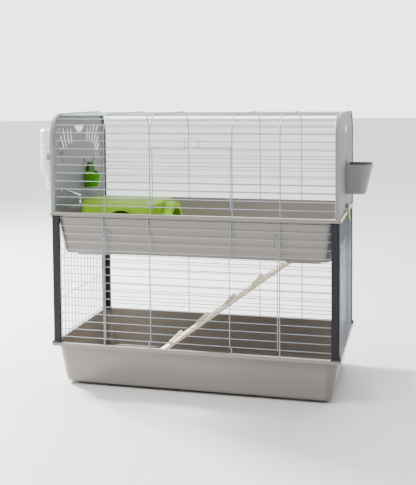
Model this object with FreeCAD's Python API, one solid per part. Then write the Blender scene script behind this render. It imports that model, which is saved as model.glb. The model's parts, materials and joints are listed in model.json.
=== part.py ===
"""Two-storey rabbit hutch: two plastic trays, four corner posts, welded wire panels,
a bent wire canopy between two end panels, and the fittings that go with it.

Millimetres. X runs along the hutch, Y from front (-Y) to back, Z up.
The origin is on the floor under the middle of the hutch.
"""
import FreeCAD, Part
import math
import os

V = FreeCAD.Vector
X_AXIS = V(1, 0, 0)
Y_AXIS = V(0, 1, 0)
Z_AXIS = V(0, 0, 1)

# ---------------------------------------------------------------- driving dimensions
RIM_LENGTH = 1000.0          # tray rim along X
RIM_DEPTH = 510.0            # tray rim along Y
TRAY_HEIGHT = 155.0          # floor to rim top
STOREY = 456.0               # lower rim top to upper rim top
CANOPY_HEIGHT = 339.0        # upper rim top to the top of the end panels
WIRE_PITCH = 27.7            # vertical spacing of the horizontal wires

# trays
WALL = 3.0                   # moulded wall thickness
RIM_OVERHANG = 9.0           # rim edge outside the wall
RIM_BAND = 11.0              # height of the rim's hanging edge
RIM_SKIN = 2.5               # thickness of the rim's hanging edge
WALL_CORNER = 42.0           # wall corner radius at the rim
RIM_CORNER = 5.0             # rim corner radius
WALL_DRAFT = 24.0            # how far the wall leans in from rim to base
BASE_EDGE = 16.0             # radius where wall meets base
PAD_HEIGHT = 8.0             # moulded corner feet
PAD_X, PAD_Y = 370.0, 150.0  # centres of the corner feet
PAD_HALF_X, PAD_HALF_Y = 60.0, 46.0

# wire
ROW_R = 1.3                  # horizontal wires
BAR_R = 1.8                  # vertical wires and canopy bows
DOOR_R = 1.5                 # door uprights
SIDE_R = 1.3                 # side panel uprights
WELD = 0.5                   # depth that two welded wires share
WIRE_Y = 244.5               # plane of the horizontal wires, front and back
SIDE_WIRE_X = 492.0          # plane of the side panels' uprights
BAR_Y = WIRE_Y + ROW_R + BAR_R - WELD
HINGE_GAP = 0.08             # loop clearance round its hinge wire
FREE_GAP = 0.3               # clearance between wires that only pass each other

# posts
POST = 26.0                  # width of each flange of the L-shaped column
POST_FLANGE = 12.0           # thickness of the flanges
POST_X, POST_Y = 495.0, 250.0     # outer faces
POST_CORNER = 6.0
SLOT_DEPTH = 14.0
SLOT_WIDTH = 5.0

# canopy and end panels
CANOPY_CORNER = 72.0         # bend radius of the lengthwise wires' plane
WIRE_TOP = 944.5             # plane of the roof's lengthwise wires
PLATE_X = 493.0              # outer face of an end panel
PLATE = 2.5
FLANGE = 8.0                 # edge flange of an end panel, along X
PANEL_Y = 250.0              # outer half depth of an end panel
PANEL_CORNER = 78.0
BEAD = 3.0                   # raised border on an end panel's outer face

# clips
CLIP_PIVOT_X = 500.0
CLIP_PIVOT_UP = 14.0         # pivot above the upper rim
PIN_R = 2.0

# ramp
RAMP_HALF = 75.0
RAMP_THICK = 10.0
RAMP_FOOT_X = -252.0
RAMP_TOP_X = 344.4
CLEATS = 6
CLEAT_FIRST = 43.0           # foot of the board to the first cleat's middle
CLEAT_PITCH = 126.5

# ---------------------------------------------------------------- derived levels
LOWER_RIM = TRAY_HEIGHT
UPPER_RIM = TRAY_HEIGHT + STOREY
TRAY_FLOOR = PAD_HEIGHT + WALL                 # inner floor above the tray's own foot
UPPER_BASE = UPPER_RIM - TRAY_HEIGHT
UPPER_FLOOR = UPPER_BASE + TRAY_FLOOR
PANEL_TOP = UPPER_RIM + CANOPY_HEIGHT
LOWER_ROWS = [LOWER_RIM + 21.3 + WIRE_PITCH * k for k in range(16)]
UPPER_ROWS = [UPPER_RIM + 24.9 + WIRE_PITCH * k for k in range(9)]
LOWER_BARS = [-307.0, -146.0, 140.0, 301.0]
UPPER_BARS = [-300.0, -138.0, 145.0, 304.0]
END_BAR = 483.0              # canopy bow beside each end panel
LOWER_DOOR_BARS = [-302.0, -140.0, 134.0, 294.0]
UPPER_DOOR_BARS = [-129.0, 140.0]
DOOR_HEAD_ROW = 13           # lower row that closes the door opening
PLATE_INNER = PLATE_X - PLATE
RAMP_OPENING = (158.0, 353.0, -90.0, 90.0)     # low x, high x, low y, high y


# ---------------------------------------------------------------- helpers
def box(x0, x1, y0, y1, z0, z1):
    return Part.makeBox(x1 - x0, y1 - y0, z1 - z0, V(x0, y0, z0))


def rod(start, end, radius):
    """Straight round wire from start to end."""
    a, b = V(*start), V(*end)
    return Part.makeCylinder(radius, (b - a).Length, a, b - a)


def join(shapes):
    """One fused shape."""
    if len(shapes) == 1:
        return shapes[0]
    return shapes[0].multiFuse(shapes[1:]).removeSplitter()


def arc(start, middle, end):
    return Part.Arc(V(*start), V(*middle), V(*end)).toShape()


def line(start, end):
    return Part.LineSegment(V(*start), V(*end)).toShape()


def bent_wire(points, bends, radius):
    """Round wire through points, with a bend of the given radius at each inner point."""
    made = []
    start = points[0]
    for before, corner, after, bend in zip(points, points[1:], points[2:], bends):
        along = (corner - before).normalize()
        onward = (after - corner).normalize()
        turn = along.getAngle(onward)
        axis = along.cross(onward).normalize()
        setback = bend * math.tan(turn / 2)
        bend_start = corner - along * setback
        if (bend_start - start).Length > 1e-6:
            made.append(rod(start, bend_start, radius))
        disc = Part.Face(Part.Wire([Part.makeCircle(radius, bend_start, along)]))
        centre = bend_start + axis.cross(along) * bend
        made.append(disc.revolve(centre, axis, math.degrees(turn)))
        start = corner + onward * setback
    if (points[-1] - start).Length > 1e-6:
        made.append(rod(start, points[-1], radius))
    return join(made)


def rounded_rectangle(half_x, half_y, radius, z, cx=0.0, cy=0.0):
    """Closed wire in a horizontal plane, made of four lines and four arcs."""
    edges = []
    k = radius * (1.0 - math.sqrt(0.5))
    quadrants = [(1, 1), (-1, 1), (-1, -1), (1, -1)]
    for i, (sx, sy) in enumerate(quadrants):
        on_x = V(cx + sx * half_x, cy + sy * (half_y - radius), z)
        on_y = V(cx + sx * (half_x - radius), cy + sy * half_y, z)
        mid = V(cx + sx * (half_x - k), cy + sy * (half_y - k), z)
        first, last = (on_x, on_y) if i % 2 == 0 else (on_y, on_x)
        edges.append(Part.Arc(first, mid, last).toShape())
        nx, ny = quadrants[(i + 1) % 4]
        if i % 2 == 0:
            next_point = V(cx + nx * (half_x - radius), cy + ny * half_y, z)
        else:
            next_point = V(cx + nx * half_x, cy + ny * (half_y - radius), z)
        edges.append(Part.makeLine(last, next_point))
    return Part.Wire(edges)


def loft(*wires):
    return Part.makeLoft(list(wires), True, True)


def slab(half_x, half_y, radius, z0, z1, cx=0.0, cy=0.0):
    """Upright prism on a rounded rectangle."""
    face = Part.Face(rounded_rectangle(half_x, half_y, radius, z0, cx, cy))
    return face.extrude(V(0, 0, z1 - z0))


def edges_at(shape, z, tolerance=0.01):
    return [e for e in shape.Edges
            if abs(e.BoundBox.ZMin - z) < tolerance and abs(e.BoundBox.ZMax - z) < tolerance]


def mirror_x(shape):
    return shape.mirror(V(0, 0, 0), X_AXIS)


def mirror_y(shape):
    return shape.mirror(V(0, 0, 0), Y_AXIS)


# ---------------------------------------------------------------- trays
def tray_cup(inset, foot, top, edge_radius):
    """Drafted tub with rounded corners and a rounded lower edge."""
    half_x = RIM_LENGTH / 2 - RIM_OVERHANG - inset
    half_y = RIM_DEPTH / 2 - RIM_OVERHANG - inset
    low = rounded_rectangle(half_x - WALL_DRAFT, half_y - WALL_DRAFT, WALL_CORNER - 12 - inset, foot)
    high = rounded_rectangle(half_x, half_y, WALL_CORNER - inset, top)
    cup = loft(low, high)
    return cup.makeFillet(edge_radius, edges_at(cup, foot))


def tray_pads(inset, low, high):
    """Four tapered corner feet."""
    pads = []
    for sx in (-1, 1):
        for sy in (-1, 1):
            bottom = rounded_rectangle(PAD_HALF_X - inset, PAD_HALF_Y - inset, 18 - inset, low,
                                       sx * PAD_X, sy * PAD_Y)
            top = rounded_rectangle(PAD_HALF_X + 6 - inset, PAD_HALF_Y + 6 - inset, 22 - inset, high,
                                    sx * PAD_X, sy * PAD_Y)
            pads.append(loft(bottom, top))
    return pads


def make_tray():
    """Tray standing on z = 0: tub, moulded feet and a rim with a hanging edge."""
    half_x, half_y = RIM_LENGTH / 2, RIM_DEPTH / 2
    rim = slab(half_x, half_y, RIM_CORNER, TRAY_HEIGHT - RIM_BAND, TRAY_HEIGHT)
    rim = rim.makeFillet(2.5, edges_at(rim, TRAY_HEIGHT))
    channel = slab(half_x - RIM_SKIN, half_y - RIM_SKIN, RIM_CORNER - RIM_SKIN,
                   TRAY_HEIGHT - RIM_BAND - 1, TRAY_HEIGHT - WALL)
    rim = rim.cut(channel)
    outer = join([tray_cup(0, PAD_HEIGHT, TRAY_HEIGHT, BASE_EDGE), rim]
                 + tray_pads(0, 0, PAD_HEIGHT + 2))
    inner = tray_cup(WALL, TRAY_FLOOR, TRAY_HEIGHT + 0.01, BASE_EDGE - WALL)
    hollow = [inner] + tray_pads(WALL, WALL, TRAY_FLOOR + 2)
    return outer.cut(join(hollow))


def make_upper_tray(tray):
    """The same moulding with an opening and a raised lip for the ramp."""
    tray = tray.translated(V(0, 0, UPPER_BASE))
    x0, x1, y0, y1 = RAMP_OPENING
    cx, cy = (x0 + x1) / 2, (y0 + y1) / 2
    half_x, half_y = (x1 - x0) / 2, (y1 - y0) / 2
    lip = slab(half_x + WALL, half_y + WALL, 18 + WALL, UPPER_FLOOR - 1, UPPER_FLOOR + 12, cx, cy)
    hole = slab(half_x, half_y, 18, UPPER_BASE - 5, UPPER_FLOOR + 20, cx, cy)
    return tray.fuse(lip).cut(hole)


# ---------------------------------------------------------------- posts
def make_post():
    """Front left corner post: slotted L-shaped column, foot plate and head collar."""
    x0, y0 = -POST_X, -POST_Y
    column = box(x0, x0 + POST, y0, y0 + POST, LOWER_RIM, UPPER_RIM - WALL)
    column = column.cut(box(x0 + POST_FLANGE, 0, y0 + POST_FLANGE, 0, LOWER_RIM - 1, UPPER_RIM))
    corner = [e for e in column.Edges
              if e.BoundBox.ZLength > 100 and abs(e.BoundBox.XMax - x0) < 0.1
              and abs(e.BoundBox.YMax - y0) < 0.1]
    column = column.makeFillet(POST_CORNER, corner)
    foot = slab(17, 17, 5, LOWER_RIM, LOWER_RIM + 5, x0 + 12, y0 + 12)
    foot = foot.makeChamfer(2.5, edges_at(foot, LOWER_RIM + 5))
    collar_top = UPPER_RIM - RIM_BAND - 1
    collar = slab(15, 15, 4, collar_top - 5, collar_top, x0 + 14, y0 + 14)
    column = join([column, foot, collar])
    inner = x0 + POST
    front_slot = box(inner - SLOT_DEPTH, inner + 10, -WIRE_Y - SLOT_WIDTH / 2, -WIRE_Y + SLOT_WIDTH / 2,
                     LOWER_RIM + 8, UPPER_RIM)
    side_x = -(SIDE_WIRE_X - SIDE_R - ROW_R + WELD)
    inner = y0 + POST
    side_slot = box(side_x - SLOT_WIDTH / 2, side_x + SLOT_WIDTH / 2, inner - SLOT_DEPTH, inner + 10,
                    LOWER_RIM + 8, UPPER_RIM)
    tray_wall = tray_cup(-FREE_GAP, PAD_HEIGHT, TRAY_HEIGHT, BASE_EDGE).translated(V(0, 0, UPPER_BASE))
    return column.cut(front_slot).cut(side_slot).cut(tray_wall)


# ---------------------------------------------------------------- lower wire panels
POST_SLOT_END = POST_X - POST + SLOT_DEPTH     # where the front panels' wires stop
SIDE_SLOT_END = POST_Y - POST + SLOT_DEPTH
SILL_SPLIT = LOWER_ROWS[0] + WIRE_PITCH / 2
HEAD_SPLIT = LOWER_ROWS[DOOR_HEAD_ROW] - WIRE_PITCH / 2
PANEL_HEAD = UPPER_RIM - WALL - 2.0            # just under the top of the upper tray's rim


def rows(levels, x0, x1, y):
    return [rod((x0, y, z), (x1, y, z), ROW_R) for z in levels]


def bars(places, z0, z1, y, radius=BAR_R):
    return [rod((x, y, z0), (x, y, z1), radius) for x in places]


def lower_front_sill():
    outer = bars([LOWER_BARS[0], LOWER_BARS[3]], LOWER_RIM, SILL_SPLIT, -BAR_Y)
    inner = bars(LOWER_BARS[1:3], LOWER_RIM, LOWER_ROWS[0] + ROW_R, -BAR_Y)
    return join(rows(LOWER_ROWS[:1], -POST_SLOT_END, POST_SLOT_END, -WIRE_Y) + outer + inner)


def lower_front_side(left):
    """Grille between a post and the door opening."""
    levels = LOWER_ROWS[1:DOOR_HEAD_ROW]
    bar = LOWER_BARS[0] if left else LOWER_BARS[3]
    far = -POST_SLOT_END if left else POST_SLOT_END
    near = bar + BAR_R if left else bar - BAR_R
    wires = rows(levels, min(far, near), max(far, near), -WIRE_Y)
    return join(wires + bars([bar], SILL_SPLIT, HEAD_SPLIT, -BAR_Y))


def lower_front_head():
    wires = rows(LOWER_ROWS[DOOR_HEAD_ROW:], -POST_SLOT_END, POST_SLOT_END, -WIRE_Y)
    outer = bars([LOWER_BARS[0], LOWER_BARS[3]], HEAD_SPLIT, PANEL_HEAD, -BAR_Y)
    inner = bars(LOWER_BARS[1:3], LOWER_ROWS[DOOR_HEAD_ROW] - ROW_R, PANEL_HEAD, -BAR_Y)
    return join(wires + outer + inner)


def lower_back_panel():
    wires = rows(LOWER_ROWS, -POST_SLOT_END, POST_SLOT_END, WIRE_Y)
    return join(wires + bars([-304.0, -142.0, 142.0, 304.0], LOWER_RIM, PANEL_HEAD, BAR_Y))


def lower_side_panel():
    """Left side: closely spaced uprights on four rails."""
    pitch = 30.4
    uprights = [rod((-SIDE_WIRE_X, pitch * k, LOWER_RIM), (-SIDE_WIRE_X, pitch * k, PANEL_HEAD), SIDE_R)
                for k in range(-7, 8)]
    rail_x = -(SIDE_WIRE_X - SIDE_R - ROW_R + WELD)
    rails = [rod((rail_x, -SIDE_SLOT_END, z), (rail_x, SIDE_SLOT_END, z), ROW_R)
             for z in (LOWER_RIM + 10, LOWER_RIM + 143, LOWER_RIM + 292, LOWER_RIM + 436)]
    return join(uprights + rails)


# ---------------------------------------------------------------- doors
DOOR_Y = WIRE_Y + ROW_R + FREE_GAP + DOOR_R    # plane of the door uprights
DOOR_ROW_Y = DOOR_Y - DOOR_R - ROW_R + FREE_GAP
LOOP_R = ROW_R + HINGE_GAP + DOOR_R            # hinge loop, axis to wire centre


def hinge_loops(places, z):
    return [Part.makeTorus(LOOP_R, DOOR_R, V(x, -WIRE_Y, z), X_AXIS) for x in places]


def door_hook(x, z, toward):
    """Stile end bent over the head wire, the free leg behind it and nearer the door's middle."""
    across = V(15.0 * toward, 2 * (DOOR_Y - WIRE_Y), 0)
    bend = across.Length / 2
    crest = z + 3.0 + bend
    near = V(x, -DOOR_Y, crest)
    points = [V(x, -DOOR_Y, z - 10), near, near + across, near + across - V(0, 0, bend + 17)]
    return bent_wire(points, [bend, bend], ROW_R)


def lower_door():
    foot, head = LOWER_ROWS[0], LOWER_ROWS[DOOR_HEAD_ROW]
    uprights = bars(LOWER_DOOR_BARS[1:3], foot, head + 3, -DOOR_Y, DOOR_R)
    stiles = bars([LOWER_DOOR_BARS[0], LOWER_DOOR_BARS[3]], foot, head - 8, -DOOR_Y, DOOR_R)
    wires = rows(LOWER_ROWS[1:DOOR_HEAD_ROW], LOWER_DOOR_BARS[0] - DOOR_R, LOWER_DOOR_BARS[3] + DOOR_R,
                 -DOOR_ROW_Y)
    hooks = [door_hook(LOWER_DOOR_BARS[0], head, 1), door_hook(LOWER_DOOR_BARS[3], head, -1)]
    return join(uprights + stiles + wires + hooks + hinge_loops(LOWER_DOOR_BARS, foot))


UPPER_DOOR_HEAD = UPPER_RIM + 227.0            # top wire of the upper door


def upper_door():
    foot = UPPER_ROWS[0]
    stiles = bars(UPPER_DOOR_BARS, foot, UPPER_DOOR_HEAD + ROW_R, -DOOR_Y, DOOR_R)
    wires = rows(UPPER_ROWS[1:8] + [UPPER_DOOR_HEAD], UPPER_DOOR_BARS[0] - DOOR_R,
                 UPPER_DOOR_BARS[1] + DOOR_R, -DOOR_ROW_Y)
    return join(stiles + wires + hinge_loops(UPPER_DOOR_BARS, foot))


LATCH_R = 1.2
LATCH_LEGS = (-16.0, 32.0)


def upper_latch():
    """U-shaped bent wire that turns on the upper door's top wire and snaps over the row above it."""
    ring = ROW_R + HINGE_GAP + LATCH_R
    front, inner = -DOOR_ROW_Y - ring - 0.5, -WIRE_Y - 0.5
    knee, over = UPPER_ROWS[8] + 2.0, UPPER_ROWS[8] + 5.4
    top = UPPER_RIM + 256.0

    def leg(x):
        return [V(x, front, UPPER_DOOR_HEAD - 0.8), V(x, front, knee), V(x, inner, over), V(x, inner, top)]

    left, right = LATCH_LEGS
    bow = bent_wire(leg(left) + leg(right)[::-1], [1.6, 1.6, 3.0, 3.0, 1.6, 1.6], LATCH_R)
    rings = [Part.makeTorus(ring, LATCH_R, V(x, -DOOR_ROW_Y, UPPER_DOOR_HEAD), X_AXIS) for x in LATCH_LEGS]
    return join([bow] + rings)


# ---------------------------------------------------------------- canopy
UPPER_SPLIT = UPPER_ROWS[0] + WIRE_PITCH / 2
UPPER_HEAD_SPLIT = UPPER_ROWS[8] - WIRE_PITCH / 2
SHOULDER = UPPER_ROWS[8] + 12.5                # where the flat grilles end and the shoulders begin
ROOF_EDGE = WIRE_Y - CANOPY_CORNER             # half depth of the flat roof
BEND_Z = WIRE_TOP - CANOPY_CORNER
BOWS = [-END_BAR] + UPPER_BARS + [END_BAR]


def canopy_point(run):
    """(y, z) on the front shoulder at arc length run above the bend's start."""
    angle = run / CANOPY_CORNER
    return -ROOF_EDGE - CANOPY_CORNER * math.cos(angle), BEND_Z + CANOPY_CORNER * math.sin(angle)


def shoulder():
    """Front shoulder: bent bows and the lengthwise wires across them."""
    bend = CANOPY_CORNER + BAR_Y - WIRE_Y
    crest = BEND_Z + bend
    parts = []
    for x in BOWS:
        corners = [V(x, -BAR_Y, SHOULDER), V(x, -BAR_Y, crest), V(x, -ROOF_EDGE, crest)]
        parts.append(bent_wire(corners, [bend], BAR_R))
    first = UPPER_ROWS[8] + WIRE_PITCH - BEND_Z
    longest = CANOPY_CORNER * math.pi / 2 - 3
    for k in range(5):
        y, z = canopy_point(min(first + WIRE_PITCH * k, longest))
        parts.append(rod((-PLATE_INNER, y, z), (PLATE_INNER, y, z), ROW_R))
    return join(parts)


def canopy_roof():
    count = 12
    pitch = 2 * ROOF_EDGE / count
    wires = []
    for k in range(1, count):
        y = -ROOF_EDGE + pitch * k
        wires.append(rod((-PLATE_INNER, y, WIRE_TOP), (PLATE_INNER, y, WIRE_TOP), ROW_R))
    z = WIRE_TOP + BAR_Y - WIRE_Y
    bows = [rod((x, -ROOF_EDGE, z), (x, ROOF_EDGE, z), BAR_R) for x in BOWS]
    return join(wires + bows)


def canopy_back():
    wires = rows(UPPER_ROWS, -PLATE_INNER, PLATE_INNER, WIRE_Y)
    return join(wires + bars(BOWS, UPPER_RIM, SHOULDER, BAR_Y))


def upper_front_sill():
    return join(rows(UPPER_ROWS[:1], -PLATE_INNER, PLATE_INNER, -WIRE_Y)
                + bars(BOWS, UPPER_RIM, UPPER_SPLIT, -BAR_Y))


def upper_front_side(left):
    places = BOWS[:3] if left else BOWS[3:]
    near = BOWS[2] + BAR_R if left else BOWS[3] - BAR_R
    far = -PLATE_INNER if left else PLATE_INNER
    wires = rows(UPPER_ROWS[1:8], min(near, far), max(near, far), -WIRE_Y)
    return join(wires + bars(places, UPPER_SPLIT, UPPER_HEAD_SPLIT, -BAR_Y))


def upper_front_head():
    return join(rows(UPPER_ROWS[8:], -PLATE_INNER, PLATE_INNER, -WIRE_Y)
                + bars(BOWS, UPPER_HEAD_SPLIT, SHOULDER, -BAR_Y))


# ---------------------------------------------------------------- end panels
def arch_face(x, half, low, high, radius):
    """Arch outline in the plane at x: straight foot, two rounded shoulders."""
    k = radius * (1.0 - math.sqrt(0.5))
    edges = [line((x, -half, low), (x, -half, high - radius)),
             arc((x, -half, high - radius), (x, -half + k, high - k), (x, -half + radius, high)),
             line((x, -half + radius, high), (x, half - radius, high)),
             arc((x, half - radius, high), (x, half - k, high - k), (x, half, high - radius)),
             line((x, half, high - radius), (x, half, low)),
             line((x, half, low), (x, -half, low))]
    return Part.Face(Part.Wire(edges))


VENT_WIDTH = 10.0
VENTS = [(71, 231, 80, 277), (96, 231, 110, 277), (120, 222, 146, 281), (142, 217, 180, 282),
         (153, 197, 188, 242), (168, 189, 195, 211), (160, 171, 160, 171), (188, 171, 188, 171)]


def vent_slots():
    """Cutters for round-ended slots, each given as (y, z) of its two end centres above the rim."""
    cutters = []
    radius = VENT_WIDTH / 2
    for side in (-1, 1):
        for y0, z0, y1, z1 in VENTS:
            low = V(PLATE_X - 20, side * y0, UPPER_RIM + z0)
            high = V(PLATE_X - 20, side * y1, UPPER_RIM + z1)
            ends = [Part.makeCylinder(radius, 40, low, X_AXIS)]
            if (high - low).Length > 1:
                across = (high - low).cross(X_AXIS).normalize() * radius
                corners = [low + across, high + across, high - across, low - across]
                middle = Part.Face(Part.makePolygon(corners + corners[:1])).extrude(V(40, 0, 0))
                ends += [middle, Part.makeCylinder(radius, 40, high, X_AXIS)]
            cutters.append(join(ends))
    return cutters


def grip_hole():
    top, half, drop = UPPER_RIM + 292.0, 46.0, 26.0
    edges = [line((PLATE_X - 20, -half, top), (PLATE_X - 20, half, top)),
             arc((PLATE_X - 20, half, top), (PLATE_X - 20, 0, top - drop), (PLATE_X - 20, -half, top))]
    hole = Part.Face(Part.Wire(edges)).extrude(V(40, 0, 0))
    return hole.makeFillet(5, [e for e in hole.Edges if e.BoundBox.XLength > 30])


BIN_HOOK_Z = UPPER_RIM + 152.0       # slots that a bin's hooks drop into
HOOK_SPREAD = 46.0                   # half distance between a bin's hooks
HOOK_WIDE = 10.0


def hook_slots(centre, spread, width, low, high):
    """Cutters for the two slots that a pair of hooks drops into."""
    return [box(PLATE_X - 20, PLATE_X + 20, centre + s * spread - width / 2 - 1,
                centre + s * spread + width / 2 + 1, low, high) for s in (-1, 1)]


def end_panel(cuts):
    """Right end panel: arch plate, inward edge flange, raised outer border and clip ears."""
    foot = UPPER_RIM
    plate = arch_face(PLATE_INNER, PANEL_Y, foot, PANEL_TOP, PANEL_CORNER).extrude(V(PLATE, 0, 0))
    wall = 2.4
    hollow_top = PANEL_TOP - wall
    flange = arch_face(PLATE_X - FLANGE, PANEL_Y, foot, PANEL_TOP, PANEL_CORNER).extrude(V(FLANGE, 0, 0))
    flange = flange.cut(arch_face(PLATE_X - FLANGE - 1, PANEL_Y - wall, foot - 1, hollow_top,
                                  PANEL_CORNER - wall).extrude(V(FLANGE + 2, 0, 0)))
    border = arch_face(PLATE_X - 1, PANEL_Y, foot, PANEL_TOP, PANEL_CORNER).extrude(V(BEAD + 1, 0, 0))
    border = border.cut(arch_face(PLATE_X - 2, PANEL_Y - 9, foot - 1, PANEL_TOP - 9,
                                  PANEL_CORNER - 9).extrude(V(BEAD + 4, 0, 0)))
    pivot_z = UPPER_RIM + CLIP_PIVOT_UP
    ears = []
    for side in (-1, 1):
        y = side * 14.0
        ear = box(PLATE_X - 0.5, CLIP_PIVOT_X, y - 2, y + 2, pivot_z - 5, pivot_z + 5)
        tip = Part.makeCylinder(5, 4, V(CLIP_PIVOT_X, y - 2, pivot_z), Y_AXIS)
        ears.append(join([ear, tip]))
    panel = join([plate, flange, border] + ears)
    clip_window = box(PLATE_X - 20, PLATE_X + 0.6, -8, 8, UPPER_RIM + 2, UPPER_RIM + 20)
    pin_hole = Part.makeCylinder(PIN_R + 0.02, 60, V(CLIP_PIVOT_X, -30, pivot_z), Y_AXIS)
    return panel.cut(vent_slots() + [grip_hole(), clip_window, pin_hole] + cuts)


# ---------------------------------------------------------------- clips
def clip():
    """Right lever clip: barrel on the pin, lever down over the rim with a hook under its edge."""
    pivot_z = UPPER_RIM + CLIP_PIVOT_UP
    x = CLIP_PIVOT_X
    barrel = Part.makeCylinder(5, 23, V(x, -11.5, pivot_z), Y_AXIS)
    edge = RIM_LENGTH / 2
    profile = [(x + 1, pivot_z - 2), (x + 4.5, pivot_z + 1), (edge + 4.0, pivot_z - 12),
               (edge + 4.0, pivot_z - 34), (edge + 8.0, pivot_z - 50), (edge + 5.0, pivot_z - 51),
               (edge + 1.0, pivot_z - 36), (edge - 4.0, pivot_z - 29.5), (edge - 4.5, pivot_z - 26.3),
               (edge + 0.8, pivot_z - 26.6), (edge + 0.8, pivot_z - 12)]
    points = [V(px, -11, pz) for px, pz in profile]
    lever = Part.Face(Part.makePolygon(points + points[:1])).extrude(V(0, 22, 0))
    tail = box(x - 12.0, x, -6, 6, pivot_z - 2.0, pivot_z + 2.0)
    body = join([barrel, lever, tail])
    return body.cut(Part.makeCylinder(PIN_R + 0.06, 60, V(x, -30, pivot_z), Y_AXIS))


def clip_pin():
    return Part.makeCylinder(PIN_R, 32, V(CLIP_PIVOT_X, -16, UPPER_RIM + CLIP_PIVOT_UP), Y_AXIS)


# ---------------------------------------------------------------- water bottle
BOTTLE_X, BOTTLE_Y = -532.0, -164.0
BOTTLE_R = 36.0
BOTTLE_TOP = UPPER_RIM + 284.0
NECK_Z = UPPER_RIM + 107.0
CAP_LOW = UPPER_RIM + 73.0
SPOUT_SLOPE = math.radians(16.0)
SPOUT_R = 4.0
SPOUT_START = V(BOTTLE_X, BOTTLE_Y, UPPER_RIM + 81.0)
SPOUT_DIR = V(math.cos(SPOUT_SLOPE), 0, -math.sin(SPOUT_SLOPE))
SPOUT_LENGTH = 115.0


def revolved(profile, x, y):
    """Solid of revolution about the vertical through (x, y); profile is (radius, z) points."""
    points = [V(x + r, y, z) for r, z in profile]
    face = Part.Face(Part.makePolygon(points + points[:1]))
    return face.revolve(V(x, y, 0), Z_AXIS, 360)


def bottle_body():
    outer = [(0, BOTTLE_TOP), (BOTTLE_R - 6, BOTTLE_TOP), (BOTTLE_R, BOTTLE_TOP - 7), (BOTTLE_R, NECK_Z + 32),
             (BOTTLE_R - 9, NECK_Z + 12), (14, NECK_Z), (14, CAP_LOW + 12), (0, CAP_LOW + 12)]
    inner = [(0, BOTTLE_TOP - 2), (BOTTLE_R - 7, BOTTLE_TOP - 2), (BOTTLE_R - 2, BOTTLE_TOP - 8),
             (BOTTLE_R - 2, NECK_Z + 33), (BOTTLE_R - 11, NECK_Z + 13.5), (12, NECK_Z + 2), (12, CAP_LOW),
             (0, CAP_LOW)]
    return revolved(outer, BOTTLE_X, BOTTLE_Y).cut(revolved(inner, BOTTLE_X, BOTTLE_Y))


def bottle_cap():
    outer = [(0, CAP_LOW - 6), (13, CAP_LOW - 6), (18, CAP_LOW), (18, NECK_Z - 2), (0, NECK_Z - 2)]
    inner = [(0, CAP_LOW + 12), (14, CAP_LOW + 12), (14, NECK_Z), (0, NECK_Z)]
    cap = revolved(outer, BOTTLE_X, BOTTLE_Y).cut(revolved(inner, BOTTLE_X, BOTTLE_Y))
    bore = Part.makeCylinder(SPOUT_R, SPOUT_LENGTH, SPOUT_START, SPOUT_DIR)
    return cap.cut(bore)


def bottle_spout():
    outer = Part.makeCylinder(SPOUT_R, SPOUT_LENGTH, SPOUT_START, SPOUT_DIR)
    bore = Part.makeCylinder(SPOUT_R - 1, SPOUT_LENGTH, SPOUT_START, SPOUT_DIR)
    lip = Part.makeCone(SPOUT_R, SPOUT_R - 0.8, 3, SPOUT_START + SPOUT_DIR * SPOUT_LENGTH, SPOUT_DIR)
    lip_bore = Part.makeCylinder(SPOUT_R - 1.9, 6, SPOUT_START + SPOUT_DIR * (SPOUT_LENGTH - 1), SPOUT_DIR)
    return outer.cut(bore).fuse(lip).cut(lip_bore)


def bottle_ball():
    return Part.makeSphere(2.7, SPOUT_START + SPOUT_DIR * (SPOUT_LENGTH - 3.0))


def bottle_cradle():
    """Half ring and back plate on the left end panel; the bottle leaves it outwards."""
    gap = 0.4
    low, high = UPPER_RIM + 176.0, UPPER_RIM + 196.0
    ring = Part.makeCylinder(BOTTLE_R + gap + 3, high - low, V(BOTTLE_X, BOTTLE_Y, low))
    ring = ring.cut(Part.makeCylinder(BOTTLE_R + gap, high - low, V(BOTTLE_X, BOTTLE_Y, low)))
    ring = ring.cut(box(BOTTLE_X - 60, BOTTLE_X, BOTTLE_Y - 60, BOTTLE_Y + 60, low - 1, high + 1))
    face = -PLATE_X
    plate = box(face - 3, face, BOTTLE_Y - 18, BOTTLE_Y + 18, low - 12, high + 12)
    body = ring.fuse(plate)
    body = body.cut(Part.makeCylinder(BOTTLE_R + gap, 80, V(BOTTLE_X, BOTTLE_Y, low - 30)))
    return body.common(box(-600, face, BOTTLE_Y - 60, BOTTLE_Y + 60, low - 20, high + 20))


# ---------------------------------------------------------------- bins, chute and bowl
BIN_Y = 58.0
BIN_HALF = 70.0
BIN_LOW, BIN_HIGH = UPPER_RIM + 54.0, UPPER_RIM + 156.0
BIN_REACH_LOW, BIN_REACH_HIGH = 64.0, 88.0
BIN_GAP = 0.5                        # between a bin's back and the end panel
FEED_Y = 88.0                        # centre of the left hopper, chute and bowl


BIN_BURIED = 40.0                    # length of the bin's outline that the end panel cuts off


def bin_form(inset, centre):
    """Tapered tub form, cut flat where it meets the end panel."""
    wires = []
    for reach, half, radius, z in ((BIN_REACH_LOW, BIN_HALF - 14, 22, BIN_LOW + inset),
                                   (BIN_REACH_HIGH, BIN_HALF, 30, BIN_HIGH)):
        back, front = PLATE_X - BIN_BURIED, PLATE_X + reach - inset
        wires.append(rounded_rectangle((front - back) / 2, half - inset, radius - inset, z,
                                       (front + back) / 2, centre))
    cut_off = PLATE_X + BIN_GAP + inset
    return loft(*wires).common(box(cut_off, PLATE_X + 200, centre - 200, centre + 200, BIN_LOW, BIN_HIGH))


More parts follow.
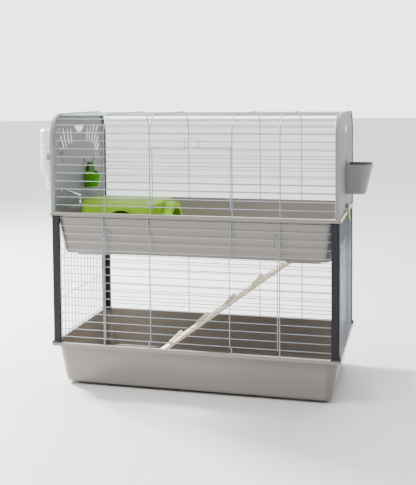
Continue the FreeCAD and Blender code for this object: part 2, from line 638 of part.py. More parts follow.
def outer_bin(centre):
    """Right-hand open bin, wider at its mouth, hung by two hooks through the end panel."""
    wall = 2.2
    outer = bin_form(0, centre)
    inner = bin_form(wall, centre)
    back = box(PLATE_X + BIN_GAP, PLATE_X + BIN_GAP + wall, centre - 56, centre + 56,
               BIN_HIGH - 30, BIN_HIGH + 12)
    body = join([outer.cut(inner), back])
    hooks = []
    for s in (-1, 1):
        y = centre + s * HOOK_SPREAD
        inside = PLATE_INNER - 0.6
        bridge = box(inside - 2.4, PLATE_X + BIN_GAP + 1, y - HOOK_WIDE / 2, y + HOOK_WIDE / 2,
                     BIN_HOOK_Z - 6, BIN_HOOK_Z - 2)
        drop = box(inside - 2.4, inside, y - HOOK_WIDE / 2, y + HOOK_WIDE / 2, BIN_HOOK_Z - 22, BIN_HOOK_Z - 2)
        hooks.append(join([bridge, drop]))
    return join([body] + hooks)


FEED_LOW, FEED_HIGH = UPPER_RIM + 112.0, UPPER_RIM + 140.0
FEED_HALF = 18.0
BOWL_TOP = UPPER_RIM + 112.0
BOWL_HOOK = 6.0
BOWL_SPREAD = 36.0                   # half distance between the bowl's hooks


def feed_opening():
    """Window in the left end panel that the feed drops through."""
    return box(PLATE_X - 20, PLATE_X + 20, FEED_Y - FEED_HALF, FEED_Y + FEED_HALF, FEED_LOW, FEED_HIGH)


def feed_hopper():
    """Bin of the same shape; its back has a window and two reliefs for the bowl's hooks."""
    back = PLATE_X + BIN_GAP
    cuts = [box(back - 1, back + 4, FEED_Y - FEED_HALF, FEED_Y + FEED_HALF, FEED_LOW, FEED_HIGH + 4)]
    for s in (-1, 1):
        y = FEED_Y + s * BOWL_SPREAD
        cuts.append(box(back - 1, back + 4, y - BOWL_HOOK / 2 - 1, y + BOWL_HOOK / 2 + 1,
                        BOWL_TOP - 40, BOWL_TOP + 4))
    return outer_bin(FEED_Y).cut(cuts)


def feed_chute():
    """Arched hood inside the cage over the feed window, open below, with a ledge into the window."""
    low, high = UPPER_RIM + 113.5, UPPER_RIM + 146.0
    face = PLATE_INNER - 0.3
    half, depth, wall = 29.0, 11.5, 2.2

    def hood(inset):
        radius = half - inset
        top = high - inset
        k = radius * (1.0 - math.sqrt(0.5))
        y0, y1 = FEED_Y - radius, FEED_Y + radius
        edges = [line((face, y0, low), (face, y0, top - radius)),
                 arc((face, y0, top - radius), (face, y0 + k, top - k), (face, FEED_Y, top)),
                 arc((face, FEED_Y, top), (face, y1 - k, top - k), (face, y1, top - radius)),
                 line((face, y1, top - radius), (face, y1, low)),
                 line((face, y1, low), (face, y0, low))]
        return Part.Face(Part.Wire(edges)).extrude(V(inset - depth, 0, 0))

    shell = hood(0).cut(hood(wall))
    ledge = box(face - 6, face, FEED_Y - half + 1, FEED_Y + half - 1, low, low + 2)
    tongue = box(face - 1, PLATE_X, FEED_Y - FEED_HALF + 3, FEED_Y + FEED_HALF - 3, low, low + 2)
    return join([shell, ledge, tongue])


def feed_bowl():
    """Half-round bowl, its rim sloping away from the end panel that it hangs on."""
    low = UPPER_RIM + 54.0
    face = PLATE_INNER - 0.5
    wall = 2.4
    foot_r, rim_r, slope = 37.0, 51.0, 14.0
    outer = Part.makeCone(foot_r, rim_r, BOWL_TOP - low, V(face, FEED_Y, low))
    inner = Part.makeCone(foot_r - wall, rim_r - wall, BOWL_TOP - low, V(face, FEED_Y, low + wall))
    above = [V(face + 1, -200, BOWL_TOP), V(face - 2 * rim_r, -200, BOWL_TOP - 2 * slope),
             V(face - 2 * rim_r, -200, BOWL_TOP + 40), V(face + 1, -200, BOWL_TOP + 40)]
    rim_cut = Part.Face(Part.makePolygon(above + above[:1])).extrude(V(0, 500, 0))
    half = box(face - 80, face, FEED_Y - 80, FEED_Y + 80, low - 1, BOWL_TOP + 20)
    cavity = inner.common(box(face - 80, face - wall, FEED_Y - 80, FEED_Y + 80, low, BOWL_TOP + 20))
    hooks = []
    for s in (-1, 1):
        y = FEED_Y + s * BOWL_SPREAD
        low_y, high_y = y - BOWL_HOOK / 2, y + BOWL_HOOK / 2
        bridge = box(face - 1, PLATE_X + 2.9, low_y, high_y, BOWL_TOP - 16, BOWL_TOP - 12)
        drop = box(PLATE_X + 0.5, PLATE_X + 2.9, low_y, high_y, BOWL_TOP - 24, BOWL_TOP - 12)
        hooks.append(join([bridge, drop]))
    return join([outer.common(half).cut(cavity).cut(rim_cut)] + hooks)


# ---------------------------------------------------------------- hut
HUT_X, HUT_Y = -283.0, -52.0
HUT_HALF_X, HUT_HALF_Y = 155.0, 128.0
HUT_HEIGHT = 178.0
HUT_ROOF_EDGE = 12.0                 # rounding of the edge between walls and roof
END_COLLAR = 26.0                    # how far the end doorway's frame stands out


def hut_form(inset):
    """Closed outer form of the hut: drafted walls, rounded shoulders and a crowned roof."""
    base = UPPER_FLOOR if inset == 0 else UPPER_FLOOR - 5
    low = rounded_rectangle(HUT_HALF_X - inset, HUT_HALF_Y - inset, 46 - inset, base, HUT_X, HUT_Y)
    top = UPPER_FLOOR + HUT_HEIGHT - inset
    high = rounded_rectangle(HUT_HALF_X - 12 - inset, HUT_HALF_Y - 14 - inset, 40 - inset, top, HUT_X, HUT_Y)
    body = loft(low, high)
    body = body.makeFillet(HUT_ROOF_EDGE - inset, edges_at(body, top))
    crown_r = 430.0
    crown_axis = V(HUT_X - 400, HUT_Y, UPPER_FLOOR + HUT_HEIGHT - crown_r)
    crown = Part.makeCylinder(crown_r - inset, 800, crown_axis, X_AXIS)
    return body.common(crown)


def arch_cutter(centre, half, spring, top, along, start, length):
    """Prism on a round-topped doorway; along is the direction that it is cut in."""
    cx, cy = centre
    across = Y_AXIS if along == X_AXIS else X_AXIS
    base = V(cx, cy, UPPER_FLOOR - 6) + along * start
    foot_a = base - across * half
    foot_b = base + across * half
    up = V(0, 0, spring + 6)
    crest = base + V(0, 0, top + 6)
    edges = [Part.makeLine(foot_a, foot_a + up),
             Part.Arc(foot_a + up, crest, foot_b + up).toShape(),
             Part.makeLine(foot_b + up, foot_b),
             Part.makeLine(foot_b, foot_a)]
    return Part.Face(Part.Wire(edges)).extrude(along * length)


def hut():
    """Shelter: a shell with a framed doorway in its front and a deeper frame at its right end."""
    shell = hut_form(0).cut(hut_form(3.0))
    above_floor = box(-600, 0, -400, 400, UPPER_FLOOR, UPPER_FLOOR + 300)
    front = (HUT_X + 18, HUT_Y)
    side = (HUT_X, HUT_Y - 4)
    collar = arch_cutter(front, 75, 76, 151, Y_AXIS, -HUT_HALF_Y - 1, 16)
    frame = arch_cutter(side, 86, 79, 165, X_AXIS, HUT_HALF_X - 14, 14 + END_COLLAR)
    body = join([shell, collar.common(above_floor), frame.common(above_floor)])
    body = body.cut(arch_cutter(front, 65, 80, 145, Y_AXIS, -HUT_HALF_Y - 10, 90))
    return body.cut(arch_cutter(side, 70, 75, 145, X_AXIS, HUT_HALF_X - 70, 100 + END_COLLAR))


# ---------------------------------------------------------------- ramp
FOOT_CLEAR = 0.5
RAMP_FOOT = V(RAMP_FOOT_X, 0, TRAY_FLOOR + FOOT_CLEAR)
RAMP_RISE = UPPER_BASE + PAD_HEIGHT - TRAY_FLOOR - 10.0
RAMP_RUN = RAMP_TOP_X - RAMP_FOOT_X
RAMP_ANGLE = math.atan2(RAMP_RISE, RAMP_RUN)
RAMP_LENGTH = math.hypot(RAMP_RISE, RAMP_RUN)
LIP_TOP = UPPER_FLOOR + 12.0
RAMP_PIVOT = V(RAMP_OPENING[1] + WALL / 2, 0, LIP_TOP - 2.5)     # just inside the crest of the lip
EYE_INNER, EYE_OUTER = 3.4, 5.4                                  # open eye of a ramp hook


def on_ramp(shape):
    """Moves a shape drawn along +X from the foot's lower corner onto the sloping ramp."""
    shape.rotate(V(0, 0, 0), Y_AXIS, -math.degrees(RAMP_ANGLE))
    return shape.translated(RAMP_FOOT)


def ramp_board():
    """Board with its foot cut at a slant, so that its lower edge meets the floor."""
    slant = RAMP_THICK * math.tan(RAMP_ANGLE)
    profile = [V(0, 0, 0), V(RAMP_LENGTH, 0, 0), V(RAMP_LENGTH, 0, RAMP_THICK), V(slant, 0, RAMP_THICK)]
    face = Part.Face(Part.makePolygon(profile + profile[:1]))
    board = face.extrude(V(0, 2 * RAMP_HALF, 0)).translated(V(0, -RAMP_HALF, 0))
    board = board.makeFillet(1.5, [e for e in board.Edges if e.BoundBox.XLength > 500])
    return on_ramp(board)


def ramp_cleats():
    made = []
    for k in range(CLEATS):
        x = CLEAT_FIRST + CLEAT_PITCH * k
        cleat = box(x - 5.5, x + 5.5, -RAMP_HALF + 2, RAMP_HALF - 2, RAMP_THICK, RAMP_THICK + 11)
        cleat = cleat.makeFillet(2, [e for e in cleat.Edges
                                     if e.BoundBox.YLength > 100 and e.BoundBox.ZMin > RAMP_THICK + 5])
        made.append(on_ramp(cleat))
    return made


def ramp_hooks():
    """Two steel straps, screwed under the board, each ending in an open eye over the opening's lip."""
    wide, thick = 16.0, 2.0
    end = RAMP_FOOT + V(RAMP_RUN, 0, RAMP_RISE)
    hooks = []
    for s in (-1, 1):
        y0 = s * 52 - wide / 2
        strap = on_ramp(box(RAMP_LENGTH - 60, RAMP_LENGTH, y0, y0 + wide, -thick, 0))
        riser_x = RAMP_PIVOT.x - EYE_OUTER
        bridge = box(end.x - 2.4, riser_x + thick, y0, y0 + wide, end.z - 4, end.z - 2)
        riser = box(riser_x, riser_x + thick, y0, y0 + wide, end.z - 4, RAMP_PIVOT.z)
        centre = V(RAMP_PIVOT.x, y0, RAMP_PIVOT.z)
        eye = Part.makeCylinder(EYE_OUTER, wide, centre, Y_AXIS)
        eye = eye.cut(Part.makeCylinder(EYE_INNER, wide, centre, Y_AXIS))
        mouth = [centre]
        for degrees in (-120, -90, -55, -22):
            mouth.append(centre + V(math.cos(math.radians(degrees)), 0, math.sin(math.radians(degrees))) * 12)
        wedge = Part.Face(Part.makePolygon(mouth + mouth[:1])).extrude(V(0, wide, 0))
        hooks.append(join([strap, bridge, riser, eye.cut(wedge)]))
    return hooks


def ramp_screws():
    """Pan heads of the four screws that hold the straps under the board."""
    heads = []
    for s in (-1, 1):
        for back in (18, 46):
            head = Part.makeCylinder(3.5, 1.8, V(RAMP_LENGTH - back, s * 52, -3.8))
            heads.append(on_ramp(head.makeChamfer(0.6, edges_at(head, -3.8))))
    return heads


# ---------------------------------------------------------------- all sub-parts
def build():
    tray = make_tray()
    post = make_post()
    side_panel = lower_side_panel()
    front_shoulder = shoulder()
    bin_slots = (HOOK_SPREAD, HOOK_WIDE, BIN_HOOK_Z - 12, BIN_HOOK_Z + 16)
    right_slots = hook_slots(BIN_Y, *bin_slots)
    left_slots = hook_slots(FEED_Y, *bin_slots)
    left_slots += hook_slots(FEED_Y, BOWL_SPREAD, BOWL_HOOK, BOWL_TOP - 28, BOWL_TOP + 4)
    left_slots.append(feed_opening())
    left_slots.append(mirror_x(Part.makeCylinder(SPOUT_R + 2.5, SPOUT_LENGTH, SPOUT_START, SPOUT_DIR)))
    lever = clip()
    nodes = {
        "lower_tray": tray,
        "upper_tray": make_upper_tray(tray),
        "post_front_left": post,
        "post_front_right": mirror_x(post),
        "post_rear_left": mirror_y(post),
        "post_rear_right": mirror_x(mirror_y(post)),
        "lower_front_sill": lower_front_sill(),
        "lower_front_left_grille": lower_front_side(True),
        "lower_front_right_grille": lower_front_side(False),
        "lower_front_head": lower_front_head(),
        "lower_back_panel": lower_back_panel(),
        "lower_left_panel": side_panel,
        "lower_right_panel": mirror_x(side_panel),
        "lower_door": lower_door(),
        "end_panel_right": end_panel(right_slots),
        "end_panel_left": mirror_x(end_panel(left_slots)),
        "upper_front_sill": upper_front_sill(),
        "upper_front_left_grille": upper_front_side(True),
        "upper_front_right_grille": upper_front_side(False),
        "upper_front_head": upper_front_head(),
        "canopy_front_shoulder": front_shoulder,
        "canopy_rear_shoulder": mirror_y(front_shoulder),
        "canopy_roof": canopy_roof(),
        "canopy_back_grille": canopy_back(),
        "upper_door": upper_door(),
        "upper_door_latch": upper_latch(),
        "clip_right": lever,
        "clip_left": mirror_x(lever),
        "clip_right_pin": clip_pin(),
        "clip_left_pin": mirror_x(clip_pin()),
        "bottle_body": bottle_body(),
        "bottle_cap": bottle_cap(),
        "bottle_spout": bottle_spout(),
        "bottle_ball": bottle_ball(),
        "bottle_cradle": bottle_cradle(),
        "outer_bin": outer_bin(BIN_Y),
        "feed_hopper": mirror_x(feed_hopper()),
        "feed_chute": mirror_x(feed_chute()),
        "feed_bowl": mirror_x(feed_bowl()),
        "hut_shell": hut(),
        "ramp_board": ramp_board(),
        "ramp_cleats": Part.makeCompound(ramp_cleats()),
        "ramp_hooks": Part.makeCompound(ramp_hooks()),
        "ramp_screws": Part.makeCompound(ramp_screws()),
    }
    return nodes


def main():
    os.makedirs("parts", exist_ok=True)
    for name, shape in build().items():
        shape.exportStep(os.path.join("parts", name + ".step"))


main()
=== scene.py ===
"""Looks of the two-storey rabbit hutch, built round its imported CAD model. Metres, Z up."""

import json
import math

import bmesh
import bpy
from mathutils import Matrix, Vector

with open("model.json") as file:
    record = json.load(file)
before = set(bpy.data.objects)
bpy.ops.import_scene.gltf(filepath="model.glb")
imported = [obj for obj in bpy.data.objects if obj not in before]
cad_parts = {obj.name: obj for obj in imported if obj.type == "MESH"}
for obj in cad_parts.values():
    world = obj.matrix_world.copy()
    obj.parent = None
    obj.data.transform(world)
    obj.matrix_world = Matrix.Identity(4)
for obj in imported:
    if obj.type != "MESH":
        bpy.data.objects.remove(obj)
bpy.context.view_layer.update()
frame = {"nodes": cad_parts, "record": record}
NODES = frame["nodes"]


# ---------------------------------------------------------------- camera
PICTURE_HEIGHT = 485         # pixels
FOCAL_LENGTH = 868.17        # pixels
CENTRE_ROW = 140.01          # picture row of the optical centre
YAW, PITCH, ROLL = 0.2485, 0.05515, -0.00793     # radians
EYE = Vector((0.76595, -3.00864, 1.02036))
SENSOR_HEIGHT = 36.0         # mm
FAR_CLIP = 100


def add_camera():
    forward = Vector((-math.sin(YAW) * math.cos(PITCH),
                      math.cos(YAW) * math.cos(PITCH),
                      -math.sin(PITCH)))
    right = Vector((math.cos(YAW), math.sin(YAW), 0))
    up = right.cross(forward)
    rolled_right = right * math.cos(ROLL) + up * math.sin(ROLL)
    rolled_up = rolled_right.cross(forward)
    data = bpy.data.cameras.new("camera")
    data.sensor_fit = "VERTICAL"
    data.sensor_height = SENSOR_HEIGHT
    data.lens = FOCAL_LENGTH / PICTURE_HEIGHT * SENSOR_HEIGHT
    data.shift_y = (CENTRE_ROW - PICTURE_HEIGHT / 2) / PICTURE_HEIGHT
    data.clip_end = FAR_CLIP
    camera = bpy.data.objects.new("camera", data)
    camera.matrix_world = Matrix((
        (rolled_right.x, rolled_up.x, -forward.x, EYE.x),
        (rolled_right.y, rolled_up.y, -forward.y, EYE.y),
        (rolled_right.z, rolled_up.z, -forward.z, EYE.z),
        (0, 0, 0, 1)))
    bpy.context.collection.objects.link(camera)
    bpy.context.scene.camera = camera


# ---------------------------------------------------------------- shader nodes
UNIT = (0.0, 1.0)
NOISE_SPAN = (0.3, 0.7)      # nearly all of a noise's values lie in it
EDGE_SPAN = (0.56, 0.68)     # pointiness where a convex edge begins, and where it is full
COLOUR_A, COLOUR_B, COLOUR_RESULT = 6, 7, 2      # a Mix node's sockets for colours


class Shader:
    """One node material. The methods from stretched to height add nodes and return an output."""

    def __init__(self, name, **sockets):
        self.material = bpy.data.materials.new(name)
        self.material.use_nodes = True
        self.nodes = self.material.node_tree.nodes
        self.links = self.material.node_tree.links
        self.surface = self.nodes["Principled BSDF"]
        for socket, value in sockets.items():
            self.surface.inputs[socket.replace("_", " ")].default_value = value
        self.object_space = self.nodes.new("ShaderNodeTexCoord").outputs["Object"]

    def set(self, socket, source):
        self.put(self.surface, socket, source)

    def put(self, node, socket, source):
        if isinstance(source, bpy.types.NodeSocket):
            self.links.new(source, node.inputs[socket])
        else:
            node.inputs[socket].default_value = source

    def stretched(self, scale):
        node = self.nodes.new("ShaderNodeMapping")
        node.inputs["Scale"].default_value = scale
        self.links.new(self.object_space, node.inputs["Vector"])
        return node.outputs["Vector"]

    def noise(self, scale, detail=4.0, roughness=0.5, vector=None, distortion=0.0):
        node = self.nodes.new("ShaderNodeTexNoise")
        node.inputs["Scale"].default_value = scale
        node.inputs["Detail"].default_value = detail
        node.inputs["Roughness"].default_value = roughness
        node.inputs["Distortion"].default_value = distortion
        self.links.new(vector or self.object_space, node.inputs["Vector"])
        return node.outputs["Fac"]

    def cells(self, scale):
        node = self.nodes.new("ShaderNodeTexVoronoi")
        node.inputs["Scale"].default_value = scale
        self.links.new(self.object_space, node.inputs["Vector"])
        return node.outputs["Distance"]

    def scaled(self, source, to=UNIT, given=NOISE_SPAN):
        """The source with the span given mapped to the span to, and cut off outside it."""
        node = self.nodes.new("ShaderNodeMapRange")
        self.put(node, "Value", source)
        for socket, value in zip(("From Min", "From Max", "To Min", "To Max"), (*given, *to)):
            node.inputs[socket].default_value = value
        return node.outputs["Result"]

    def math(self, operation, a, b=0.0):
        node = self.nodes.new("ShaderNodeMath")
        node.operation = operation
        self.put(node, 0, a)
        self.put(node, 1, b)
        return node.outputs[0]

    def mixed(self, fraction, a, b):
        node = self.nodes.new("ShaderNodeMix")
        node.data_type = "RGBA"
        self.put(node, "Factor", fraction)
        for index, source in ((COLOUR_A, a), (COLOUR_B, b)):
            if isinstance(source, bpy.types.NodeSocket):
                self.links.new(source, node.inputs[index])
            else:
                node.inputs[index].default_value = (*source, 1)
        return node.outputs[COLOUR_RESULT]

    def edge(self):
        """How far a point is out on a convex edge, from 0 to 1."""
        pointiness = self.nodes.new("ShaderNodeNewGeometry").outputs["Pointiness"]
        return self.scaled(pointiness, given=EDGE_SPAN)

    def between(self, source, low, high):
        above = self.math("GREATER_THAN", source, low)
        return self.math("MULTIPLY", above, self.math("LESS_THAN", source, high))

    def height(self):
        node = self.nodes.new("ShaderNodeSeparateXYZ")
        self.links.new(self.object_space, node.inputs[0])
        return node.outputs["Z"]

    def bump(self, *layers):
        """layers are (height source, distance in metres, strength)."""
        normal = None
        for source, distance, strength in layers:
            node = self.nodes.new("ShaderNodeBump")
            node.inputs["Distance"].default_value = distance
            node.inputs["Strength"].default_value = strength
            self.links.new(source, node.inputs["Height"])
            if normal is not None:
                self.links.new(normal, node.inputs["Normal"])
            normal = node.outputs["Normal"]
        self.links.new(normal, self.surface.inputs["Normal"])


# ---------------------------------------------------------------- plastics
# A pair of colours is the two ends of a slow drift. Depths are in metres.
DRIFT_SHADES = (0.96, 1.04)      # share of the colour at the two ends of the drift
SPECKLE_SHADE = 0.90             # share of the colour in the fine speckle
SPECKLE_COVER = (0.0, 0.35)
EDGE_WEAR_AND_HIGHLIGHT = 0.30                 # how far a rubbed edge goes towards its lighter colour: part wear, part painted highlight
# the lighter edge colour: part wear, part painted highlight
WEAR_HIGHLIGHT_GAIN, WEAR_HIGHLIGHT_LIFT = 1.3, 0.05
GLOSS_SPREAD = (-0.02, 0.03)     # change of the roughness over a moulding
DIE_GRAIN = 900.0                # scale of the texture left by the die
DIE_DEPTH = 0.00004
DIE_STRENGTH = 0.5
WAVE_DEPTH = 0.0012              # slow waviness of a moulded wall
WAVE_STRENGTH = 0.06

HUT_WALLS = (0.255, 0.500, 0.024), (0.300, 0.560, 0.030)
# painted shade: the roof's colours are darker than the walls' because the roof faces up
HUT_ROOF_PAINTED_SHADE = (0.110, 0.195, 0.014), (0.135, 0.235, 0.018)
HUT_STREAKS = (0.36, 0.62, 0.06)
# painted highlight: a lighter lime laid along the hut's convex edges, and how strongly
HUT_EDGE_HIGHLIGHT = (0.46, 0.74, 0.10)
HUT_HIGHLIGHT_STRENGTH = 0.6
HUT_GLOSS = (0.40, 0.55)
HUT_WAVE_STRENGTH = 0.08
ROOF_SHADE_SLOPE = (0.55, 0.90)        # upward part of the normal where the walls end and the roof's painted shade begins

FROST = (0.80, 0.82, 0.83), (0.92, 0.93, 0.93)
FROST_GLOSS = (0.30, 0.46)
FROST_DEPTH = 0.00012
LEVEL_INK = (0.16, 0.38, 0.05)
LEVEL_COVER = 0.75
LEVEL_PITCH = 0.018              # height from one level line to the next
LEVEL_LINE = 0.10                # a line's thickness as a share of the pitch
LEVEL_LOW, LEVEL_HIGH = 0.76, 0.87


def shade(colour, factor):
    return tuple(c * factor for c in colour)


# the lighter colour of a convex edge: part wear, part painted highlight
def worn_and_highlit(colour):
    return tuple(min(1.0, c * WEAR_HIGHLIGHT_GAIN + WEAR_HIGHLIGHT_LIFT) for c in colour)


def die_texture(s, grain=DIE_GRAIN):
    return s.noise(grain, detail=3.0, roughness=0.6)


def moulded(name, colour, rough, grain=DIE_GRAIN, depth=DIE_DEPTH, **sockets):
    """Injection-moulded plastic: fine die texture, slow colour drift, lighter convex edges that
    are part wear and part painted highlight.
    """
    s = Shader(name, **sockets)
    dark, light = (shade(colour, factor) for factor in DRIFT_SHADES)
    base = s.mixed(s.scaled(s.noise(2.2, detail=3.0)), dark, light)
    speckle = s.scaled(s.noise(420.0, detail=2.0), SPECKLE_COVER, given=(0.5, 0.75))
    base = s.mixed(speckle, base, shade(colour, SPECKLE_SHADE))
    # convex edges lightened, broken up by noise: part rubbed wear, part painted highlight
    edge = s.math("MULTIPLY", s.edge(), s.scaled(s.noise(60.0, detail=5.0), (0.3, 1.0)))
    s.set("Base Color", s.mixed(s.math("MULTIPLY", edge, EDGE_WEAR_AND_HIGHLIGHT), base, worn_and_highlit(colour)))
    s.set("Roughness", s.scaled(s.noise(90.0), [rough + change for change in GLOSS_SPREAD]))
    s.bump((die_texture(s, grain), depth, DIE_STRENGTH),
           (s.noise(3.0, detail=2.0), WAVE_DEPTH, WAVE_STRENGTH))
    return s.material


def hut_plastic():
    """Lime plastic; the roof, which faces up, gets painted shade: a deeper olive than the walls.
    """
    s = Shader("hut_plastic", Specular_IOR_Level=0.04, Subsurface_Weight=0.1,
               Subsurface_Scale=0.01)
    drift = s.scaled(s.noise(3.0, detail=3.0))
    walls, roof = s.mixed(drift, *HUT_WALLS), s.mixed(drift, *HUT_ROOF_PAINTED_SHADE)
    upward = s.nodes.new("ShaderNodeSeparateXYZ")
    s.links.new(s.nodes.new("ShaderNodeTexCoord").outputs["Normal"], upward.inputs[0])
    # painted shade: faces whose normal points up take the darker roof colours
    base = s.mixed(s.scaled(upward.outputs["Z"], given=ROOF_SHADE_SLOPE), walls, roof)
    streaks = s.noise(7.0, detail=5.0, vector=s.stretched((1.0, 6.0, 6.0)))
    base = s.mixed(s.scaled(streaks, (0.0, 0.3), given=(0.45, 0.7)), base, HUT_STREAKS)
    # painted highlight along the convex edges
    s.set("Base Color", s.mixed(s.math("MULTIPLY", s.edge(), HUT_HIGHLIGHT_STRENGTH), base, HUT_EDGE_HIGHLIGHT))
    s.set("Roughness", s.scaled(s.noise(24.0, detail=6.0), HUT_GLOSS))
    s.bump((die_texture(s), DIE_DEPTH, DIE_STRENGTH),
           (s.noise(4.0, detail=2.0), WAVE_DEPTH, HUT_WAVE_STRENGTH))
    return s.material


def bottle_plastic():
    """Frosted bottle with plain level lines printed round it."""
    s = Shader("bottle_plastic", Transmission_Weight=0.35, IOR=1.45)
    base = s.mixed(s.scaled(s.noise(18.0, detail=5.0)), *FROST)
    level = s.math("FRACT", s.math("MULTIPLY", s.height(), 1 / LEVEL_PITCH))
    printed = s.math("MULTIPLY", s.math("LESS_THAN", level, LEVEL_LINE),
                     s.between(s.height(), LEVEL_LOW, LEVEL_HIGH))
    s.set("Base Color", s.mixed(s.math("MULTIPLY", printed, LEVEL_COVER), base, LEVEL_INK))
    s.set("Roughness", s.scaled(s.noise(90.0), FROST_GLOSS))
    s.bump((s.noise(160.0, detail=3.0), FROST_DEPTH, 0.35))
    return s.material


# ---------------------------------------------------------------- metal and wood
ENAMEL = (0.200, 0.225, 0.260), (0.285, 0.315, 0.355)
ENAMEL_DULL = (0.13, 0.145, 0.17)
ENAMEL_GLOSS = (0.26, 0.42)
ENAMEL_DEPTH = 0.00005

BRUSHED_STEEL = (0.50, 0.50, 0.51), (0.68, 0.68, 0.69)
STEEL_GLOSS = (0.20, 0.36)
STEEL_DEPTH = 0.00004

PALE_GRAIN = (0.80, 0.64, 0.42), (0.93, 0.84, 0.66)
GROWTH_LINES = (0.62, 0.42, 0.20)
KNOTS = (0.42, 0.25, 0.11)
WOOD_GLOSS = (0.5, 0.72)
GRAIN_DEPTH = 0.0003
FIBRE_DEPTH = 0.00008


def wire_enamel():
    s = Shader("wire_enamel", Metallic=0.3, Coat_Weight=0.25, Coat_Roughness=0.2)
    base = s.mixed(s.scaled(s.noise(35.0)), *ENAMEL)
    dull = s.scaled(s.noise(220.0, detail=3.0), (0.0, 0.5), given=(0.6, 0.75))
    s.set("Base Color", s.mixed(dull, base, ENAMEL_DULL))
    s.set("Roughness", s.scaled(s.noise(140.0, detail=5.0), ENAMEL_GLOSS))
    s.bump((s.noise(700.0, detail=3.0), ENAMEL_DEPTH, 0.5))
    return s.material


def steel():
    s = Shader("steel", Metallic=1.0)
    brushed = s.noise(60.0, vector=s.stretched((1.0, 12.0, 12.0)))
    s.set("Base Color", s.mixed(s.scaled(brushed), *BRUSHED_STEEL))
    s.set("Roughness", s.scaled(brushed, STEEL_GLOSS))
    s.bump((brushed, STEEL_DEPTH, 0.4))
    return s.material


def ramp_wood():
    """Planed softwood: long pale grain, tan growth lines and a few darker knots."""
    s = Shader("ramp_wood", Coat_Weight=0.05, Coat_Roughness=0.4)
    grain = s.noise(9.0, detail=8.0, roughness=0.62, vector=s.stretched((3.0, 40.0, 4.0)),
                    distortion=1.2)
    rings = s.noise(3.5, detail=2.0, vector=s.stretched((1.2, 26.0, 3.0)), distortion=2.0)
    base = s.mixed(s.scaled(grain, given=(0.35, 0.68)), *PALE_GRAIN)
    base = s.mixed(s.scaled(rings, (0.0, 0.6), given=(0.5, 0.66)), base, GROWTH_LINES)
    near_knot = s.scaled(s.cells(11.0), (0.7, 0.0), given=(0.02, 0.10))
    s.set("Base Color", s.mixed(near_knot, base, KNOTS))
    s.set("Roughness", s.scaled(grain, WOOD_GLOSS))
    s.bump((grain, GRAIN_DEPTH, 0.5), (s.noise(500.0, detail=3.0), FIBRE_DEPTH, 0.4))
    return s.material


# ---------------------------------------------------------------- the part
MOULDINGS = {
    "tray_plastic": dict(colour=(0.200, 0.178, 0.158), rough=0.24, Coat_Weight=0.25,
                         Coat_Roughness=0.15),
    "post_plastic": dict(colour=(0.017, 0.0175, 0.022), rough=0.50, grain=1400.0, depth=0.00008,
                         Specular_IOR_Level=0.2),
    "panel_plastic": dict(colour=(0.200, 0.205, 0.193), rough=0.48, Specular_IOR_Level=0.3),
    "bin_plastic": dict(colour=(0.27, 0.275, 0.285), rough=0.42),
    "clip_plastic": dict(colour=(0.30, 0.58, 0.02), rough=0.33),
    "bottle_cap_plastic": dict(colour=(0.74, 0.75, 0.74), rough=0.35),
    "bowl_plastic": dict(colour=(0.110, 0.44, 0.005), rough=0.40, Specular_IOR_Level=0.12),
    "chute_plastic": dict(colour=(0.035, 0.125, 0.008), rough=0.50, Specular_IOR_Level=0.05),
}


def add_materials():
    """One material for each material slot of the record."""
    materials = {slot: moulded(slot, **look) for slot, look in MOULDINGS.items()}
    materials.update(wire_enamel=wire_enamel(), bottle_clear=bottle_plastic(), steel=steel(),
                     hut_plastic=hut_plastic(), ramp_wood=ramp_wood())
    return materials


def dress_cad():
    materials = add_materials()
    slots = {part["node"]: part["material_slot"] for part in frame["record"]["subparts"]}
    for name, node in NODES.items():
        material = materials[slots[name]]
        if not node.material_slots:
            node.data.materials.append(material)
        for place in node.material_slots:
            place.material = material


# ---------------------------------------------------------------- stage
FLOOR_RADIUS = 30.0
FLOOR_SEGMENTS = 96
FLOOR_PAINT = (0.57, 0.56, 0.545), (0.63, 0.62, 0.605)
FLOOR_DEPTH = 0.0004

# name, place, aim, side, watts, colour
LIGHTS = (
    ("key", (-2.0, -2.5, 4.0), (0, 0, 0.4), 1.2, 185, (1.0, 0.985, 0.96)),
    ("window", (-3.2, 1.2, 2.6), (0, 0, 0.35), 0.8, 900, (0.97, 0.99, 1.0)),
)

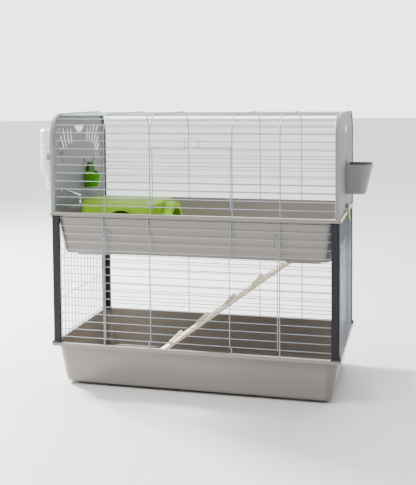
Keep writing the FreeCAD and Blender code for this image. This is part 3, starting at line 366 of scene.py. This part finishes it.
WORLD_COLOUR = (0.96, 0.985, 1.0, 1)
BRIGHT_SIDE = (-0.62, 0.70, 0.35)    # direction that most of the studio's light comes from
FADE_SPAN = (-0.75, 0.85)            # closeness to it where the light starts and stops rising
WORLD_STRENGTH = (0.16, 3.6)         # strength at the two ends of that span


def add_floor():
    floor = bpy.data.meshes.new("floor")
    bm = bmesh.new()
    bmesh.ops.create_circle(bm, cap_ends=True, segments=FLOOR_SEGMENTS, radius=FLOOR_RADIUS)
    bm.to_mesh(floor)
    bm.free()
    plane = bpy.data.objects.new("floor", floor)
    bpy.context.collection.objects.link(plane)
    s = Shader("floor_paint", Roughness=0.55)
    s.set("Base Color", s.mixed(s.scaled(s.noise(1.2, detail=5.0)), *FLOOR_PAINT))
    s.bump((s.noise(45.0), FLOOR_DEPTH, 0.15))
    floor.materials.append(s.material)


def light_world():
    """Studio surround: bright behind and to the left, dim in front and to the right."""
    world = bpy.data.worlds.new("studio")
    bpy.context.scene.world = world
    world.use_nodes = True
    nodes, links = world.node_tree.nodes, world.node_tree.links
    toward = nodes.new("ShaderNodeVectorMath")
    toward.operation = "DOT_PRODUCT"
    links.new(nodes.new("ShaderNodeTexCoord").outputs["Generated"], toward.inputs[0])
    toward.inputs[1].default_value = BRIGHT_SIDE
    ramp = nodes.new("ShaderNodeMapRange")
    ramp.interpolation_type = "SMOOTHSTEP"
    links.new(toward.outputs["Value"], ramp.inputs["Value"])
    ramp.inputs["From Min"].default_value, ramp.inputs["From Max"].default_value = FADE_SPAN
    ramp.inputs["To Min"].default_value, ramp.inputs["To Max"].default_value = WORLD_STRENGTH
    background = nodes["Background"]
    background.inputs["Color"].default_value = WORLD_COLOUR
    links.new(ramp.outputs["Result"], background.inputs["Strength"])


def add_light(name, place, aim, side, watts, colour):
    data = bpy.data.lights.new(name, "AREA")
    data.shape = "SQUARE"
    data.size = side
    data.energy = watts
    data.color = colour
    light = bpy.data.objects.new(name, data)
    light.location = place
    light.rotation_euler = (Vector(aim) - Vector(place)).to_track_quat("-Z", "Y").to_euler()
    bpy.context.collection.objects.link(light)


add_camera()
dress_cad()
add_floor()
light_world()
for light in LIGHTS:
    add_light(*light)
